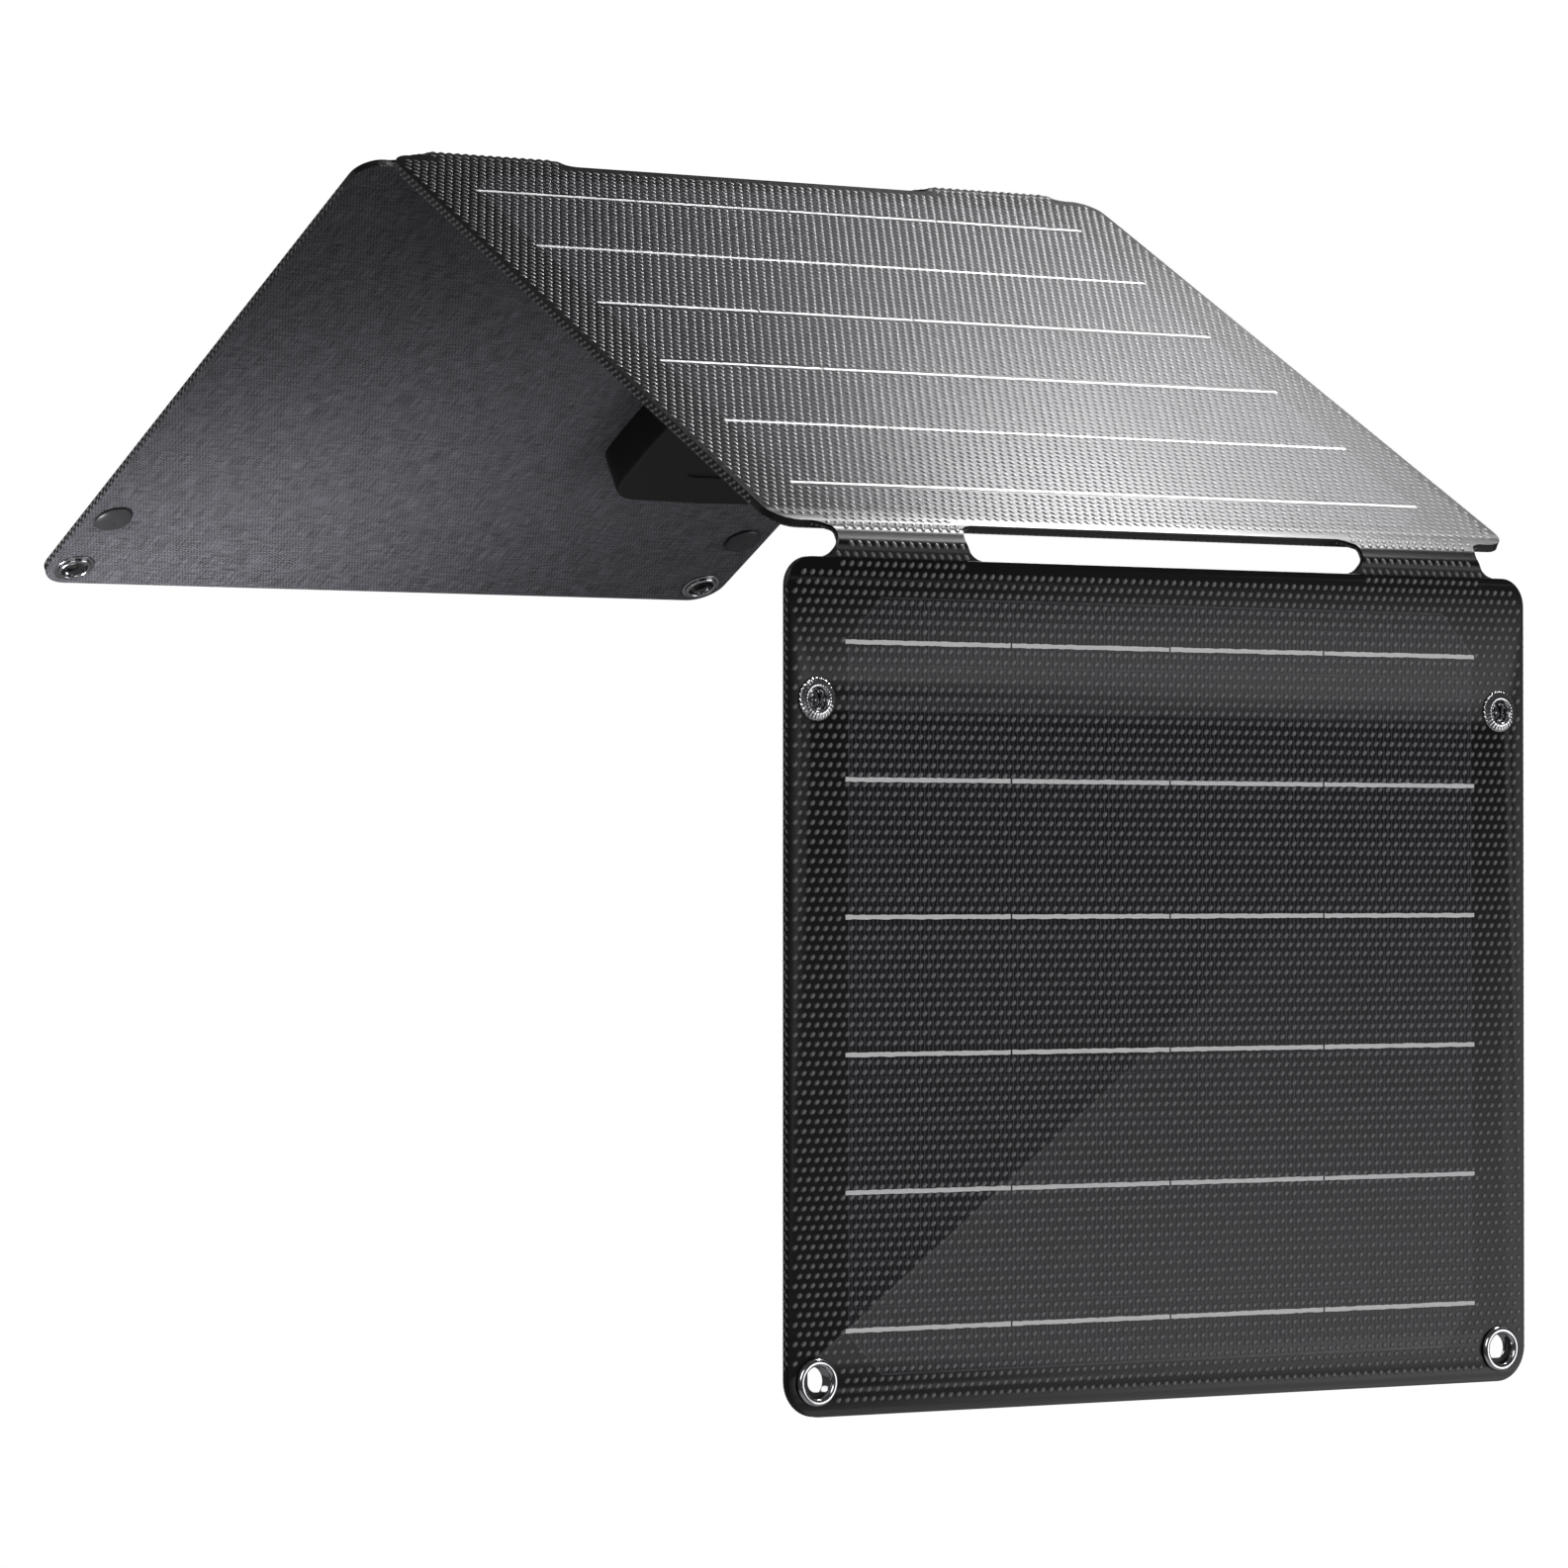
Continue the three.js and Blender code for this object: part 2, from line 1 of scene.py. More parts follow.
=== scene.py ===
"""Looks of a folding solar charger: three stiff laminated panels, two soft folds and a controller box.

Every panel has a frame of its own, in millimetres: X along the folds, Y up the panel from its middle,
and Z out of its front face. A fold has one too: Y across the fold, from the middle of its spine.
"""
import json
import math
import random

import bmesh
import bpy
from mathutils import Matrix, Vector


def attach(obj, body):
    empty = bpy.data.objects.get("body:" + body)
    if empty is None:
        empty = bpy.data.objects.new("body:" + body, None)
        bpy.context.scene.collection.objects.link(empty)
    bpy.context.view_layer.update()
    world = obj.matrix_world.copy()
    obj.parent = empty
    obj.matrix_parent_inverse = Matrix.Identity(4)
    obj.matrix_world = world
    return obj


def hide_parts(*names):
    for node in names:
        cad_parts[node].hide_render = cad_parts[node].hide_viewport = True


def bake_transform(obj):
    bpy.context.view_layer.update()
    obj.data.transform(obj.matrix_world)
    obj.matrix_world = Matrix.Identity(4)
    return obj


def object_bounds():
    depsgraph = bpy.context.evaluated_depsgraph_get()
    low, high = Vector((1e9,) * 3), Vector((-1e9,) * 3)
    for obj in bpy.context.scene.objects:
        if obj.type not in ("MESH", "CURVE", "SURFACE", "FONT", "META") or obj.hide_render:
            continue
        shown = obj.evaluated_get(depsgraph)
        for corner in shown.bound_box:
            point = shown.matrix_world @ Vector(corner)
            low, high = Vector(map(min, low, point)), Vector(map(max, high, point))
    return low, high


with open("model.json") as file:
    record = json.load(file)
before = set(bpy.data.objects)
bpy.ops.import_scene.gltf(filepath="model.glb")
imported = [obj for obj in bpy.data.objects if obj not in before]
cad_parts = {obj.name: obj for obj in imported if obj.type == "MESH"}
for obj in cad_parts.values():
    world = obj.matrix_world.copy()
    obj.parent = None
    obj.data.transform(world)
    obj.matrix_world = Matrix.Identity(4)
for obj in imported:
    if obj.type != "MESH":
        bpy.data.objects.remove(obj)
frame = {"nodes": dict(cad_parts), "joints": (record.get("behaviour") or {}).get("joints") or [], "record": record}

cad_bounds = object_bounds()
MM = 0.001
TO_METRES = Matrix.Scale(MM, 4)


# ---- where things are, read from the frame -------------------------------------------------------
def crease(name):
    return Vector(next(j for j in frame["joints"] if j["name"] == name)["pos_m"])


def slope(low, high):
    """The angle about X at which the line between two creases rises."""
    return math.atan2(high.z - low.z, high.y - low.y)


RIDGE_B, RIDGE_A = crease("ridge_crease_b"), crease("ridge_crease_a")
LOWER_B, LOWER_C = crease("lower_crease_b"), crease("lower_crease_c")
SLOPE_B = slope(LOWER_B, RIDGE_B)
SLOPE_RIDGE = slope(RIDGE_B, RIDGE_A)
SLOPE_LOWER = slope(LOWER_C, LOWER_B)
SLOPES = {"a": 2 * SLOPE_RIDGE - SLOPE_B, "b": SLOPE_B, "c": 2 * SLOPE_LOWER - SLOPE_B}
BEND = SLOPE_B - SLOPE_RIDGE  # at each crease, back from flat


def extent(node, place):
    """The lowest and highest corners of a CAD node, measured in a frame of its own."""
    back = place.inverted()
    points = [back @ v.co for v in frame["nodes"][node].data.vertices]
    return [Vector([pick(p[i] for p in points) for i in range(3)]) for pick in (min, max)]


def panel_place(letter):
    tilted = Matrix.Rotation(SLOPES[letter], 4, "X") @ TO_METRES
    low, high = extent(f"panel_{letter}_front_film", tilted)
    return tilted @ Matrix.Translation((0, (low.y + high.y) / 2, high.z))


PLACES = {letter: panel_place(letter) for letter in "abc"}
HALF_WIDTH, HALF_LENGTH, _ = extent("panel_b_front_film", PLACES["b"])[1]
OUTER_CORNER = 7.5
FOLD_CORNER = 6.0
FILM = -extent("panel_b_front_film", PLACES["b"])[0].z
CORE_TOP = extent("panel_b_core_board", PLACES["b"])[1].z
CLOTH_BOTTOM, CLOTH_TOP = (corner.z for corner in extent("panel_b_back_cloth", PLACES["b"]))
CELLS_X = extent("panel_b_cell_strip_4", PLACES["b"])[1].x
CELLS_Y = extent("panel_b_cell_strip_4", PLACES["b"])[1].y
STRIP_GAPS = [
    (extent(f"panel_b_cell_strip_{i}", PLACES["b"])[1].x
     + extent(f"panel_b_cell_strip_{i + 1}", PLACES["b"])[0].x) / 2
    for i in (1, 2, 3)
]

# ---- camera --------------------------------------------------------------------------------------
CAMERA_AT = Vector((-0.8838, -1.2933, -0.1603))
CAMERA_TURN = math.radians(34.73)  # to the right of +Y
CAMERA_RISE = math.radians(0.84)
CAMERA_LENS = 158.8

camera = bpy.data.objects.new("camera", bpy.data.cameras.new("camera"))
bpy.context.scene.collection.objects.link(camera)
camera.data.lens = CAMERA_LENS
camera.data.clip_end = 30
camera.location = CAMERA_AT
looking = Vector((
    math.sin(CAMERA_TURN) * math.cos(CAMERA_RISE),
    math.cos(CAMERA_TURN) * math.cos(CAMERA_RISE),
    math.sin(CAMERA_RISE),
))
camera.rotation_mode = "QUATERNION"
camera.rotation_quaternion = looking.to_track_quat("-Z", "Y")
bpy.context.scene.camera = camera
bpy.context.scene.view_settings.view_transform = "Standard"


# ---- colours and shader nodes --------------------------------------------------------------------
def linear(code):
    """An sRGB hex colour as linear red, green, blue and alpha."""
    parts = [int(code[i:i + 2], 16) / 255 for i in (1, 3, 5)]
    return (*(p / 12.92 if p <= 0.04045 else ((p + 0.055) / 1.055) ** 2.4 for p in parts), 1)


def add(tree, kind, inputs=(), **settings):
    """A node with its settings. Each input is a value, or the socket that feeds it."""
    made = tree.nodes.new("ShaderNode" + kind)
    for name, value in settings.items():
        setattr(made, name, value)
    for key, given in inputs.items() if isinstance(inputs, dict) else enumerate(inputs):
        if isinstance(given, bpy.types.NodeSocket):
            tree.links.new(given, made.inputs[key])
        elif given is not None:
            made.inputs[key].default_value = given
    return made.outputs[0]


def new_material(name, colour, roughness, metallic=0.0, **sockets):
    """A material, its node tree and its shader, with the constant values on the shader's own sockets."""
    made = bpy.data.materials.new(name)
    made.use_nodes = True
    shader = made.node_tree.nodes["Principled BSDF"]
    shader.inputs["Base Color"].default_value = linear(colour)
    shader.inputs["Roughness"].default_value = roughness
    shader.inputs["Metallic"].default_value = metallic
    for key, value in sockets.items():
        shader.inputs[key.replace("_", " ")].default_value = value
    return made, made.node_tree, shader


def feed(tree, shader, **sockets):
    """Links sockets to the shader's inputs, named with _ for a space."""
    for key, source in sockets.items():
        tree.links.new(source, shader.inputs[key.replace("_", " ")])


# ---- lights, background and floor ----------------------------------------------------------------
def softbox(name, target, direction, distance, size, power, spread=180):
    """An area light that shines on target from that direction, in a beam of that many degrees."""
    lamp = bpy.data.lights.new(name, "AREA")
    lamp.shape = "RECTANGLE"
    lamp.size, lamp.size_y = size
    lamp.energy = power
    lamp.spread = math.radians(spread)
    holder = bpy.data.objects.new(name, lamp)
    bpy.context.scene.collection.objects.link(holder)
    way = Vector(direction).normalized()
    holder.location = Vector(target) + way * distance
    holder.rotation_euler = (-way).to_track_quat("-Z", "Y").to_euler()


def make_background():
    """White where the camera sees it, and dimmer as a light."""
    world = bpy.data.worlds.new("studio")
    bpy.context.scene.world = world
    world.use_nodes = True
    tree = world.node_tree
    seen = tree.nodes.new("ShaderNodeLightPath").outputs["Is Camera Ray"]
    strength = add(tree, "MapRange", {"Value": seen, "To Min": 0.05, "To Max": 1.0})
    backdrop = tree.nodes["Background"]
    backdrop.inputs["Color"].default_value = (1, 1, 1, 1)
    tree.links.new(strength, backdrop.inputs["Strength"])


FLOOR_DROP = 0.9
FLOOR_RADIUS = 1.8


def make_floor():
    """A pale disc, well below the object and too small to reach into the camera's view."""
    low, high = cad_bounds
    shape = bmesh.new()
    bmesh.ops.create_circle(shape, cap_ends=True, segments=96, radius=FLOOR_RADIUS)
    middle = (low + high) / 2
    bmesh.ops.translate(shape, verts=shape.verts, vec=(middle.x, middle.y, low.z - FLOOR_DROP))
    mesh = bpy.data.meshes.new("floor")
    shape.to_mesh(mesh)
    floor = bpy.data.objects.new("floor", mesh)
    bpy.context.scene.collection.objects.link(floor)
    paint, tree, shader = new_material("matte_studio_paint", "#e9e9ea", 0.8)
    mottle = add(tree, "TexNoise", {"Scale": 3.0, "Detail": 2.0})
    tint = add(tree, "MixRGB", [mottle, linear("#e6e6e7"), linear("#ededee")])
    seen = tree.nodes.new("ShaderNodeLightPath").outputs["Is Camera Ray"]
    glow = add(tree, "Math", [seen, 0.6], operation="MULTIPLY")
    shader.inputs["Emission Color"].default_value = linear("#ffffff")
    feed(tree, shader, Base_Color=tint, Emission_Strength=glow)
    # From below, the floor isn't there.
    below = tree.nodes.new("ShaderNodeNewGeometry").outputs["Backfacing"]
    clear = add(tree, "BsdfTransparent")
    surface = add(tree, "MixShader", [below, shader.outputs[0], clear])
    tree.links.new(surface, tree.nodes["Material Output"].inputs["Surface"])
    mesh.materials.append(paint)


make_background()
make_floor()
# Spots that the lamps aim at.
MIDDLE_B = PLACES["b"] @ Vector((0, 0, 0))
MIDDLE_C = PLACES["c"] @ Vector((0, 0, 0))
UNDER_A = PLACES["a"] @ Vector((-72, 88, 0))
RIGHT_OF_B = PLACES["b"] @ Vector((72, -8, 0))
LOWER_FOLD = (LOWER_B + LOWER_C) / 2
# Each softbox has its target, its direction, its distance and size in metres, and its power in watts.
softbox("ridge_softbox", RIGHT_OF_B, (0.71, 0.41, 0.61), 0.5, (0.16, 0.16), 0.17)
softbox("overhead_softbox", MIDDLE_B, (0.72, 0.05, 0.72), 1.6, (0.5, 1.3), 1.5)
softbox("fold_softbox", LOWER_FOLD, (0.57, 0.08, 0.8), 0.5, (0.35, 0.12), 0.6, spread=60)
softbox("rim_softbox", MIDDLE_C, (0.70, -0.64, -0.28), 2.0, (1.3, 1.3), 11)
softbox("key_softbox", MIDDLE_B, (-0.55, -0.78, 0.3), 2.5, (1.2, 1.2), 13)
softbox("back_softbox", MIDDLE_B, (-0.42, 0.82, 0.35), 2.2, (0.9, 0.9), 4)
softbox("underside_lamp", UNDER_A, (-0.4, -0.15, -0.9), 0.35, (0.12, 0.12), 0.065, spread=25)


# ---- making pieces -------------------------------------------------------------------------------
def add_object(name, mesh):
    made = bpy.data.objects.new(name, mesh)
    bpy.context.scene.collection.objects.link(made)
    return made


def finished_mesh(holder):
    """The mesh of an object with its modifiers or its curve worked out. The object is removed."""
    bpy.context.view_layer.update()
    graph = bpy.context.evaluated_depsgraph_get()
    mesh = bpy.data.meshes.new_from_object(holder.evaluated_get(graph), depsgraph=graph)
    bpy.data.objects.remove(holder)
    return mesh


def arc(cx, cy, radius, start, end, steps=12):
    """Points on an arc, with its angles in degrees."""
    angles = [math.radians(start + (end - start) * i / steps) for i in range(steps + 1)]
    return [(cx + radius * math.cos(t), cy + radius * math.sin(t)) for t in angles]


def rounded_rectangle(half_x, half_y, low_corner, high_corner):
    points = []
    for quarter, (sx, sy) in enumerate([(1, 1), (-1, 1), (-1, -1), (1, -1)]):
        radius = high_corner if sy > 0 else low_corner
        cx, cy = sx * (half_x - radius), sy * (half_y - radius)
        points += arc(cx, cy, radius, quarter * 90, quarter * 90 + 90)
    return points


def plate(outline, holes, bottom, top, round_off):
    """A closed sheet with that outline and holes. Its edges are rounded by round_off."""
    flat = bpy.data.curves.new("plate", "CURVE")
    flat.dimensions = "2D"
    flat.fill_mode = "BOTH"
    flat.extrude = (top - bottom) / 2 - round_off
    flat.bevel_depth = round_off
    flat.bevel_resolution = 2
    flat.offset = -round_off
    for points in [outline, *holes]:
        spline = flat.splines.new("POLY")
        spline.points.add(len(points) - 1)
        for point, (x, y) in zip(spline.points, points):
            point.co = (x, y, 0, 1)
        spline.use_cyclic_u = True
    shape = from_meshes(finished_mesh(add_object("plate", flat)))
    bmesh.ops.remove_doubles(shape, verts=shape.verts, dist=0.001)
    bmesh.ops.recalc_face_normals(shape, faces=shape.faces)
    bmesh.ops.translate(shape, verts=shape.verts, vec=(0, 0, (bottom + top) / 2))
    return shape


def map_in_millimetres(shape, up=0.0):
    """Lays the piece's own X and Y, in millimetres, out as its UV map, moved up by that much."""
    layer = shape.loops.layers.uv.get("UVMap") or shape.loops.layers.uv.new("UVMap")
    for face in shape.faces:
        for loop in face.loops:
            loop[layer].uv = (loop.vert.co.x, loop.vert.co.y + up)


FLAT_EDGE = 15  # a sheet's flat face stays flat-shaded up to its rounded edge


def add_piece(name, shape, place, look, replaces=(), sharp=35):
    """Turns a bmesh, in a frame of its own, into a piece with its looks. place is that frame."""
    shape.transform(place)
    mesh = bpy.data.meshes.new(name)
    shape.to_mesh(mesh)
    shape.free()
    mesh.shade_smooth()
    mesh.set_sharp_from_angle(angle=math.radians(sharp))
    mesh.materials.append(look)
    made = add_object(name, mesh)
    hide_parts(*replaces)
    return made


def from_meshes(*meshes):
    shape = bmesh.new()
    for mesh in meshes:
        shape.from_mesh(mesh)
        bpy.data.meshes.remove(mesh)
    return shape


# ---- embossing: rows of slanted domes ------------------------------------------------------------
EMBOSS_PITCH = 2.13  # from dome to dome in a row
EMBOSS_ROW = 1.93  # from row to row
DOME_HEIGHT = 0.32
DOME_SHOULDER = 0.6  # where the straight flank ends, as a share of the height
DOME_LENGTH = 1.85
DOME_WIDTH = 1.2
DOME_SLANT = math.radians(38)
PANEL_SLANTS = {"a": DOME_SLANT, "b": math.radians(-50), "c": DOME_SLANT}
DOME_SUNK = 0.03  # how deep a dome's foot sits in the film


def dome(shape, x, y, slant):
    """One low slanted dome on a six-sided foot."""
    made = bmesh.ops.create_cone(
        shape, cap_ends=True, segments=6, radius1=0.5, radius2=0.3,
        depth=DOME_SHOULDER * DOME_HEIGHT)["verts"]
    bmesh.ops.translate(shape, verts=made, vec=(0, 0, DOME_SHOULDER / 2 * DOME_HEIGHT - DOME_SUNK))
    crown = max(made[0].link_faces[:] + made[-1].link_faces[:], key=lambda f: f.calc_center_median().z)
    crest = bmesh.ops.poke(shape, faces=[crown], offset=(1 - DOME_SHOULDER) * DOME_HEIGHT)["verts"]
    verts = made + crest
    bmesh.ops.scale(shape, verts=verts, vec=(DOME_LENGTH, DOME_WIDTH, 1))
    bmesh.ops.rotate(shape, verts=verts, matrix=Matrix.Rotation(slant, 3, "Z"))
    bmesh.ops.translate(shape, verts=verts, vec=(x, y, 0))


def repeated(shape, *repeats):
    """A mesh of a bmesh repeated along each step in turn. A repeat is a count and a step."""
    mesh = bpy.data.meshes.new("repeated")
    shape.to_mesh(mesh)
    shape.free()
    holder = add_object("repeated", mesh)
    for count, step in repeats:
        repeat = holder.modifiers.new("repeat", "ARRAY")
        repeat.count = count
        repeat.use_relative_offset = False
        repeat.use_constant_offset = True
        repeat.constant_offset_displace = step
    return finished_mesh(holder)


def dome_field(half_x, half_y, keep, middle=(0, 0), slant=DOME_SLANT):
    """Domes about the origin, in rows set off by half a pitch, with one at middle.
    keep(x, y) says which stay."""
    shape = bmesh.new()
    dome(shape, 0, 0, slant)
    dome(shape, EMBOSS_PITCH / 2, EMBOSS_ROW, slant)
    columns = 2 * math.ceil(half_x / EMBOSS_PITCH) + 3
    rows = 2 * math.ceil(half_y / EMBOSS_ROW / 2) + 3
    field = repeated(shape, (columns, (EMBOSS_PITCH, 0, 0)), (rows, (0, 2 * EMBOSS_ROW, 0)))
    corner = Vector((
        middle[0] % EMBOSS_PITCH - (columns + 1) // 2 * EMBOSS_PITCH,
        middle[1] % (2 * EMBOSS_ROW) - (rows + 1) // 2 * 2 * EMBOSS_ROW,
        0,
    ))
    field.transform(Matrix.Translation(corner))
    shape = from_meshes(field)
    stray = [v for v in shape.verts if not keep(*dome_centre(v.co - corner) + corner.xy)]
    bmesh.ops.delete(shape, geom=stray, context="VERTS")
    return shape


def dome_centre(point):
    """The centre of the dome that a point belongs to, from the field's first dome."""
    row = round(point.y / EMBOSS_ROW)
    shift = EMBOSS_PITCH / 2 * (row % 2)
    return Vector((round((point.x - shift) / EMBOSS_PITCH) * EMBOSS_PITCH + shift, row * EMBOSS_ROW))


def mark_painted_highlight(shape, height):
    """Stores how high each point stands on its dome, from 0 to 1. The film's material uses it to paint the crests
    lighter, a painted highlight.
    """
    layer = shape.verts.layers.float.get("crest") or shape.verts.layers.float.new("crest")
    for v in shape.verts:
        v[layer] = min(1.0, max(0.0, height(v.co) / DOME_HEIGHT))


# ---- materials -----------------------------------------------------------------------------------
WAFER_CHAMFER = 8.3  # cut from each corner of the cells
BUS_PITCH = 27.67
FINGER_PITCH = EMBOSS_PITCH / 2
FINGER_WIDTH = 0.32  # such fingers are usually about 0.06 mm wide, too fine to show
THIN_LINE = 0.16
WEAVE_PITCH = 0.8  # threads of such cloth are about 0.45 mm apart, too fine to show


def film_material():
    """Etched fluoropolymer film over black, pressed into domes: soft glints on the crests, and a painted highlight
    that lightens each dome towards its top, near-black between them. The cells under it show as a faint slate
    field with silver lines."""
    made, tree, shader = new_material(
        "embossed_fluoropolymer_film", "#121214", 0.36, IOR=1.42)
    place = add(tree, "UVMap", uv_map="UVMap")
    across = tree.nodes.new("ShaderNodeSeparateXYZ")
    tree.links.new(place, across.inputs[0])
    x, y = across.outputs["X"], across.outputs["Y"]
    flat_x = add(tree, "Math", [x], operation="ABSOLUTE")
    flat_y = add(tree, "Math", [y], operation="ABSOLUTE")
    both = add(tree, "Math", [flat_x, flat_y], operation="ADD")
    # How far inside the cells' eight-sided outline a point lies.
    inside_x = add(tree, "Math", [CELLS_X, flat_x], operation="SUBTRACT")
    inside_y = add(tree, "Math", [CELLS_Y, flat_y], operation="SUBTRACT")
    corner = add(tree, "Math", [CELLS_X + CELLS_Y - WAFER_CHAMFER, both], operation="SUBTRACT")
    corner = add(tree, "Math", [corner, math.sqrt(0.5)], operation="MULTIPLY")
    inside = add(tree, "Math", [inside_x, inside_y], operation="MINIMUM")
    inside = add(tree, "Math", [inside, corner], operation="MINIMUM")
    cells = add(tree, "Math", [inside, 0.0], operation="GREATER_THAN")
    outline = add(tree, "Math", [inside, THIN_LINE, THIN_LINE], operation="COMPARE")
    # Silver fingers run up the cells. Finer lines cross them at a third and two thirds of a bus pitch.
    to_finger = add(tree, "Math", [x, FINGER_PITCH / 2], operation="PINGPONG")
    fingers = add(tree, "Math", [to_finger, FINGER_WIDTH / 2], operation="LESS_THAN")
    third = BUS_PITCH / 3
    to_third = add(tree, "Math", [y, third / 2], operation="PINGPONG")
    thirds = add(tree, "Math", [to_third, THIN_LINE / 2], operation="LESS_THAN")
    lines = add(tree, "Math", [fingers, thirds], operation="MAXIMUM")
    lines = add(tree, "Math", [lines, cells], operation="MULTIPLY")
    lines = add(tree, "Math", [lines, outline], operation="MAXIMUM")
    # Slow blotches keep the lines and the black from looking printed.
    blotch = add(tree, "TexNoise", {"Vector": place, "Scale": 0.35, "Detail": 3.0, "Roughness": 0.6})
    faint = add(tree, "MapRange", {"Value": blotch, "From Min": 0.3, "From Max": 0.7,
                                   "To Min": 0.25, "To Max": 0.7})
    lines = add(tree, "Math", [lines, faint], operation="MULTIPLY")
    # crest runs from 0 at a dome's foot to 1 at its top. It sets a painted highlight: the colour goes from the
    # film's black at the foot to pale grey at the crest.
    crest = tree.nodes.new("ShaderNodeAttribute")
    crest.attribute_name = "crest"
    crest = crest.outputs["Fac"]
    pits = add(tree, "MixRGB", [cells, linear("#060607"), linear("#0c0c0e")])
    painted_crest_highlight = add(tree, "MixRGB", [cells, linear("#98989c"), linear("#a6a5ad")])
    colour = add(tree, "MixRGB", [crest, pits, painted_crest_highlight])
    colour = add(tree, "MixRGB", [lines, colour, linear("#5f5e64")])
    grain = add(tree, "TexNoise", {"Vector": place, "Scale": 5.0, "Detail": 2.0})
    gloss = add(tree, "MapRange", {"Value": grain, "To Min": 0.26, "To Max": 0.38})
    bump = add(tree, "Bump", {"Height": grain, "Strength": 0.12, "Distance": 0.05 * MM})
    feed(tree, shader, Base_Color=colour, Roughness=gloss, Normal=bump)
    return made


def cloth_material():
    """Charcoal polyester in a plain weave: pale thread crowns over dark gaps, with long thin slubs."""
    made, tree, shader = new_material(
        "woven_polyester", "#3c3b40", 0.82, Sheen_Weight=0.12, Sheen_Roughness=0.5)
    place = add(tree, "UVMap", uv_map="UVMap")
    wobble = add(tree, "TexNoise", {"Vector": place, "Scale": 0.45, "Detail": 2.0})
    wobble = add(tree, "MixRGB", [0.06, place, wobble], blend_type="ADD")
    split = tree.nodes.new("ShaderNodeSeparateXYZ")
    tree.links.new(wobble, split.inputs[0])
    waves = []
    for axis, other in (("X", "Y"), ("Y", "X")):
        thread = add(tree, "Math", [split.outputs[axis], 2 * math.pi / WEAVE_PITCH], operation="MULTIPLY")
        thread = add(tree, "Math", [thread], operation="SINE")
        over = add(tree, "Math", [split.outputs[other], math.pi / WEAVE_PITCH], operation="MULTIPLY")
        over = add(tree, "Math", [over], operation="SINE")
        waves.append(add(tree, "Math", [thread, over], operation="MULTIPLY"))
    weave = add(tree, "Math", waves, operation="ADD")
    weave = add(tree, "MapRange", {"Value": weave, "From Min": -1.2, "From Max": 1.2})
    slubs = []
    for stretch in ((2.6, 0.14, 1), (0.2, 2.2, 1)):
        along = add(tree, "Mapping", {"Vector": place, "Scale": stretch})
        slubs.append(add(tree, "TexNoise", {"Vector": along, "Scale": 1.0, "Detail": 1.0}))
    slub = add(tree, "Math", slubs, operation="MULTIPLY")
    slub = add(tree, "MapRange", {"Value": slub, "From Min": 0.1, "From Max": 0.42})
    tone = add(tree, "Math", [weave, slub], operation="ADD")
    tone = add(tree, "MapRange", {"Value": tone, "From Min": 0.45, "From Max": 1.55})
    colour = add(tree, "MixRGB", [tone, linear("#1c1b20"), linear("#77757e")])
    height = add(tree, "Math", [tone, weave], operation="ADD")
    bump = add(tree, "Bump", {"Height": height, "Strength": 0.5, "Distance": 0.12 * MM})
    feed(tree, shader, Base_Color=colour, Normal=bump)
    return made


def object_point(tree):
    """The socket that gives a point's place in metres."""
    return tree.nodes.new("ShaderNodeTexCoord").outputs["Object"]


def speckled_material(name, colour, other, grain_mm, roughness, rougher, depth_mm=0.02,
                      metallic=0.0, **sockets):
    """A finish with a fine grain: two close tones, a gloss that varies with them and a slight relief."""
    made, tree, shader = new_material(name, colour, roughness, metallic, **sockets)
    grain = add(tree, "TexNoise", {
        "Vector": object_point(tree), "Scale": 1 / (grain_mm * MM), "Detail": 4.0, "Roughness": 0.6})
    tint = add(tree, "MixRGB", [grain, linear(colour), linear(other)])
    gloss = add(tree, "MapRange", {"Value": grain, "To Min": roughness, "To Max": rougher})
    bump = add(tree, "Bump", {"Height": grain, "Strength": 0.35, "Distance": depth_mm * MM})
    feed(tree, shader, Base_Color=tint, Roughness=gloss, Normal=bump)
    return made


